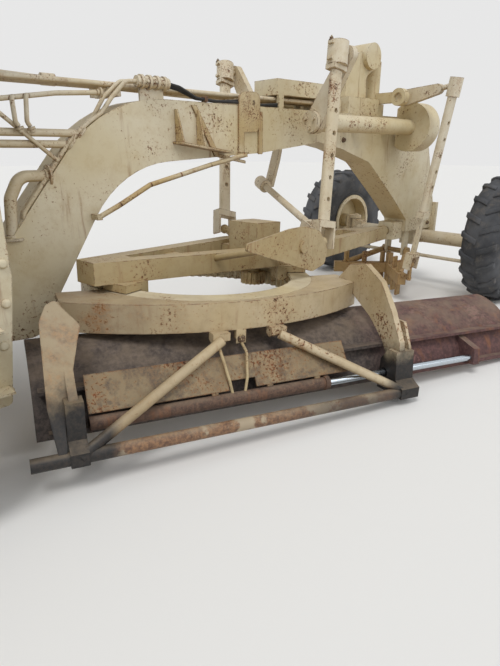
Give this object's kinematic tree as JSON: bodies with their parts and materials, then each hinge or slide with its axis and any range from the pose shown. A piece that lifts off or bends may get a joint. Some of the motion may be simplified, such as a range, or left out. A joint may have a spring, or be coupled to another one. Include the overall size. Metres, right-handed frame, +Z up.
{
  "type": "motor grader",
  "caption": "Worn motor grader with an arched box frame, a cab over tandem wheels, a drawbar with a toothed circle, an angled blade and a front scarifier.",
  "frame": {"origin": "middle of the rear tow pin's hole", "axes": "+X forward, +Y to the machine's left, +Z up along the tow pin's hole"},
  "size_m": [9.42, 3.3587, 3.18],
  "materials": {
    "cream_paint": "worn, chipped",
    "ochre_paint": "worn, dusty",
    "maroon_paint": "worn to rust",
    "rusty_steel": "rusty",
    "dark_steel": "oily",
    "chrome_rod": "polished",
    "tyre_rubber": "matt",
    "seat_cover": "worn",
    "lamp_glass": "clear"
  },
  "bodies": {
    "chassis": {"main_frame": "cream_paint", "front_bolster": "cream_paint", "side_bracket": "cream_paint", "rear_frame": "cream_paint", "transmission_case": "ochre_paint", "rear_axle": "ochre_paint", "tandem_cases": "cream_paint", "engine_block": "dark_steel", "hood": "cream_paint", "radiator": "cream_paint", "exhaust": "rusty_steel", "platform": "cream_paint", "cab_body": "cream_paint", "cab_roof": "cream_paint", "seat": "seat_cover", "console": "cream_paint", "front_axle": "cream_paint", "gear_housings": "cream_paint", "gear_cases": "cream_paint", "control_shafts": "ochre_paint", "shift_crank": "cream_paint", "lamps": "lamp_glass"},
    "door_left": {"cab_door_left": "cream_paint"},
    "door_right": {"cab_door_right": "cream_paint"},
    "knuckle_right": {"knuckle_right": "cream_paint"},
    "knuckle_left": {"knuckle_left": "cream_paint"},
    "tie_rod": {"tie_rod": "ochre_paint"},
    "crank_right": {"lift_crank_right": "cream_paint"},
    "crank_left": {"lift_crank_left": "cream_paint"},
    "link_right": {"lift_link_right": "cream_paint"},
    "link_left": {"lift_link_left": "cream_paint"},
    "shift_link": {"shift_link": "cream_paint"},
    "drawbar": {"drawbar": "cream_paint"},
    "circle": {"turn_circle": "rusty_steel", "circle_yoke": "cream_paint", "blade_guard": "cream_paint", "shift_barrel": "rusty_steel"},
    "blade": {"moldboard": "maroon_paint", "side_shift_rod": "chrome_rod"},
    "scarifier": {"scarifier": "cream_paint"},
    "scarifier_crank": {"scarifier_crank": "cream_paint"},
    "scarifier_link": {"scarifier_link": "cream_paint"},
    "wheel_front_left": {"rim_front_left": "cream_paint", "tyre_front_left": "tyre_rubber"},
    "wheel_front_right": {"rim_front_right": "cream_paint", "tyre_front_right": "tyre_rubber"},
    "wheel_mid_left": {"rim_mid_left": "cream_paint", "tyre_mid_left": "tyre_rubber"},
    "wheel_mid_right": {"rim_mid_right": "cream_paint", "tyre_mid_right": "tyre_rubber"},
    "wheel_rear_left": {"rim_rear_left": "cream_paint", "tyre_rear_left": "tyre_rubber"},
    "wheel_rear_right": {"rim_rear_right": "cream_paint", "tyre_rear_right": "tyre_rubber"}
  },
  "joints": [
    {"name": "wheel_spin_front_left", "type": "hinge", "parent": "knuckle_left", "child": "wheel_front_left", "pos_m": [8.65, 1.13, -0.08], "axis": [0, 1, 0], "continuous": true},
    {"name": "wheel_spin_front_right", "type": "hinge", "parent": "knuckle_right", "child": "wheel_front_right", "pos_m": [8.65, -1.13, -0.08], "axis": [0, 1, 0], "continuous": true},
    {"name": "wheel_spin_mid_left", "type": "hinge", "parent": "chassis", "child": "wheel_mid_left", "pos_m": [2.59, 1.13, -0.08], "axis": [0, 1, 0], "continuous": true},
    {"name": "wheel_spin_mid_right", "type": "hinge", "parent": "chassis", "child": "wheel_mid_right", "pos_m": [2.59, -1.13, -0.08], "axis": [0, 1, 0], "continuous": true},
    {"name": "wheel_spin_rear_left", "type": "hinge", "parent": "chassis", "child": "wheel_rear_left", "pos_m": [0.91, 1.13, -0.08], "axis": [0, 1, 0], "continuous": true},
    {"name": "wheel_spin_rear_right", "type": "hinge", "parent": "chassis", "child": "wheel_rear_right", "pos_m": [0.91, -1.13, -0.08], "axis": [0, 1, 0], "continuous": true},
    {"name": "steer", "type": "hinge", "parent": "chassis", "child": "knuckle_right", "pos_m": [8.65, -0.88, -0.16], "axis": [0, 0, 1], "range_deg": [-35, 35]},
    {"name": "steer_left", "type": "hinge", "parent": "chassis", "child": "knuckle_left", "pos_m": [8.65, 0.88, -0.16], "axis": [0, 0, 1], "range_deg": [-36, 36]},
    {"name": "tie_rod_eye", "type": "hinge", "parent": "knuckle_right", "child": "tie_rod", "pos_m": [8.4, -0.88, -0.35], "axis": [0, 0, 1], "range_deg": [-36, 36]},
    {"name": "blade_lift", "type": "hinge", "parent": "chassis", "child": "drawbar", "pos_m": [8.085, 0, -0.051], "axis": [-0.1219, 0.9925, 0], "range_deg": [-3, 2]},
    {"name": "lift_crank_right", "type": "hinge", "parent": "chassis", "child": "crank_right", "pos_m": [6.29, -0.35, 1.07], "axis": [1, 0, 0], "range_deg": [-15.5, 23]},
    {"name": "lift_crank_left", "type": "hinge", "parent": "chassis", "child": "crank_left", "pos_m": [6.29, 0.35, 1.07], "axis": [1, 0, 0], "range_deg": [-23, 15.5]},
    {"name": "lift_link_right", "type": "hinge", "parent": "crank_right", "child": "link_right", "pos_m": [6.15, -0.67, 1.54], "axis": [1, 0, 0], "range_deg": [-18, 12]},
    {"name": "lift_link_left", "type": "hinge", "parent": "crank_left", "child": "link_left", "pos_m": [6.15, 0.67, 1.54], "axis": [1, 0, 0], "range_deg": [-12, 18]},
    {"name": "shift_link_swing", "type": "hinge", "parent": "chassis", "child": "shift_link", "pos_m": [6.295, 0.3, 0.54], "axis": [1, 0, 0], "range_deg": [-4.5, 6.5]},
    {"name": "circle_turn", "type": "hinge", "parent": "drawbar", "child": "circle", "pos_m": [5.00241, -0.37849, 0.11176], "axis": [0.0519, 0.0064, 0.9986], "range_deg": [-4, 20]},
    {"name": "side_shift", "type": "slide", "parent": "circle", "child": "blade", "axis": [0.96, -0.2758, -0.0482], "range_m": [-0.05, 0.3]},
    {"name": "scarifier_lift", "type": "hinge", "parent": "chassis", "child": "scarifier", "pos_m": [8.3, 0, -0.31], "axis": [0, 1, 0], "range_deg": [-8, 12]},
    {"name": "scarifier_crank_turn", "type": "hinge", "parent": "chassis", "child": "scarifier_crank", "pos_m": [7.66, -0.35, 1.34], "axis": [1, 0, 0], "range_deg": [-16, 10.7]},
    {"name": "scarifier_link_swing", "type": "hinge", "parent": "scarifier_crank", "child": "scarifier_link", "pos_m": [7.66, -0.85, 1.42], "axis": [1, 0, 0], "range_deg": [-10.5, 15.7]},
    {"name": "door_left", "type": "hinge", "parent": "chassis", "child": "door_left", "pos_m": [2.5, 0.745, 1.24], "axis": [0, 0, 1], "range_deg": [0, 90]},
    {"name": "door_right", "type": "hinge", "parent": "chassis", "child": "door_right", "pos_m": [2.5, -0.745, 1.24], "axis": [0, 0, -1], "range_deg": [0, 90]}
  ],
  "couplings": [
    {"joint": "steer_left", "follows": "steer", "ratio": 1},
    {"joint": "tie_rod_eye", "follows": "steer", "ratio": -1},
    {"joint": "lift_crank_right", "follows": "blade_lift", "ratio": -7.5},
    {"joint": "lift_crank_left", "follows": "blade_lift", "ratio": 7.5},
    {"joint": "lift_link_right", "follows": "blade_lift", "ratio": 5.8},
    {"joint": "lift_link_left", "follows": "blade_lift", "ratio": -5.8},
    {"joint": "shift_link_swing", "follows": "blade_lift", "ratio": -2.05},
    {"joint": "scarifier_crank_turn", "follows": "scarifier_lift", "ratio": -1.32},
    {"joint": "scarifier_link_swing", "follows": "scarifier_lift", "ratio": 1.3}
  ]
}
